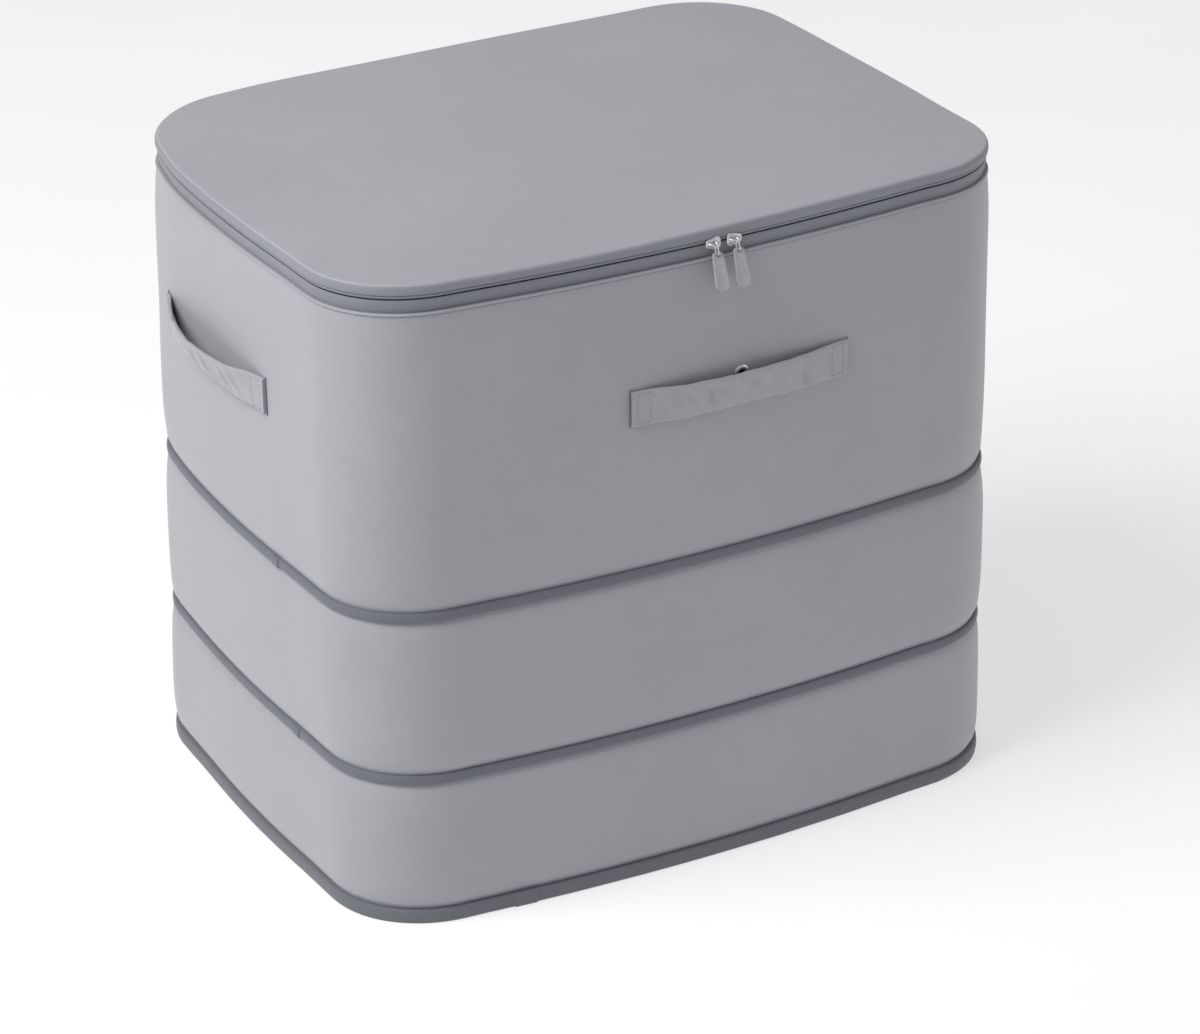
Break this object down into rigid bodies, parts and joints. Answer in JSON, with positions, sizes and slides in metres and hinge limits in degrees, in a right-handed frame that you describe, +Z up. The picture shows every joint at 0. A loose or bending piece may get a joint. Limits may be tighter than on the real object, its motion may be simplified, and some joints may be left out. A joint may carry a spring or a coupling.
{
  "type": "fabric storage bin",
  "caption": "Rounded rectangular fabric storage bin with a zip-around lid hinged at the back, strap handles, hooped bands and sections that fold down inside each other.",
  "frame": {"origin": "middle of the base panel's underside, on the floor", "axes": "+Z up, +X along the front to the right, the front with the two zip sliders faces -Y"},
  "size_m": [0.5352, 0.4068, 0.46],
  "materials": {
    "fabric": "smooth coated plain weave, cool grey",
    "binding": "woven twill binding tape, darker grey",
    "board": "stiff board, dull",
    "lining": "thin non-woven lining",
    "zip_tape": "woven zip tape",
    "zip_coil": "nylon coil, satin",
    "spring_steel": "flat spring strip, oiled",
    "nickel": "bright nickel plate",
    "pull_tab": "soft moulded tab, satin"
  },
  "bodies": {
    "base": {"base_panel": "fabric", "base_board": "board", "base_lining": "lining", "base_rim_binding": "binding", "base_hoop": "spring_steel", "lower_wall": "fabric"},
    "middle": {"middle_wall": "fabric", "lower_band": "binding", "lower_band_hoop": "spring_steel"},
    "upper": {"upper_wall": "fabric", "upper_band": "binding", "upper_band_hoop": "spring_steel", "rim_binding": "binding", "rim_hoop": "spring_steel", "body_zip_tape": "zip_tape", "body_zip_coil": "zip_coil", "hinge_gusset_body": "fabric", "zip_stop_left": "nickel", "zip_stop_right": "nickel", "vent_eyelet": "nickel", "vent_washer": "nickel", "front_handle_left_end": "fabric", "front_handle_right_end": "fabric", "left_handle_back_end": "fabric", "left_handle_front_end": "fabric", "right_handle_back_end": "fabric", "right_handle_front_end": "fabric"},
    "lid": {"lid_panel": "fabric", "lid_gusset": "fabric", "hinge_gusset_lid": "fabric", "lid_binding": "binding", "lid_hoop": "spring_steel", "lid_zip_tape": "zip_tape", "lid_zip_coil": "zip_coil"},
    "left_slider": {"left_slider": "nickel"},
    "right_slider": {"right_slider": "nickel"},
    "left_pull": {"left_pull_link": "nickel", "left_pull_tab": "pull_tab"},
    "right_pull": {"right_pull_link": "nickel", "right_pull_tab": "pull_tab"},
    "front_grip": {"front_handle_grip": "fabric"},
    "left_grip": {"left_handle_grip": "fabric"},
    "right_grip": {"right_handle_grip": "fabric"}
  },
  "joints": [
    {"name": "lower_fold", "type": "slide", "parent": "base", "child": "middle", "axis": [0, 0, 1], "range_m": [-0.0935, 0]},
    {"name": "upper_fold", "type": "slide", "parent": "middle", "child": "upper", "axis": [0, 0, 1], "range_m": [-0.1115, 0]},
    {"name": "lid_hinge", "type": "hinge", "parent": "upper", "child": "lid", "pos_m": [0, 0.1948, 0.4495], "axis": [-1, 0, 0], "range_deg": [0, 175]},
    {"name": "left_slider_run", "type": "hinge", "parent": "upper", "child": "left_slider", "pos_m": [0, 1.3952, 0.4495], "axis": [0, 0, -1], "range_deg": [0, 6.44]},
    {"name": "right_slider_run", "type": "hinge", "parent": "upper", "child": "right_slider", "pos_m": [0, 1.3952, 0.4495], "axis": [0, 0, 1], "range_deg": [0, 5.57]},
    {"name": "left_pull_swing", "type": "hinge", "parent": "left_slider", "child": "left_pull", "pos_m": [0.00426, -0.19899, 0.4495], "axis": [-1, -0.0027, 0], "range_deg": [-18, 155]},
    {"name": "right_pull_swing", "type": "hinge", "parent": "right_slider", "child": "right_pull", "pos_m": [0.01981, -0.19888, 0.4495], "axis": [-0.9999, -0.0124, 0], "range_deg": [-18, 155]},
    {"name": "front_grip_lift", "type": "hinge", "parent": "upper", "child": "front_grip", "pos_m": [0.024, -0.19382, 0.3475], "axis": [-0.9999, -0.0151, 0], "range_deg": [-20, 20]},
    {"name": "left_grip_lift", "type": "hinge", "parent": "upper", "child": "left_grip", "pos_m": [-0.24987, 0.018, 0.3475], "axis": [0.0145, 0.9999, 0], "range_deg": [-20, 20]},
    {"name": "right_grip_lift", "type": "hinge", "parent": "upper", "child": "right_grip", "pos_m": [0.24987, 0.018, 0.3475], "axis": [0.0145, -0.9999, 0], "range_deg": [-20, 20]}
  ]
}
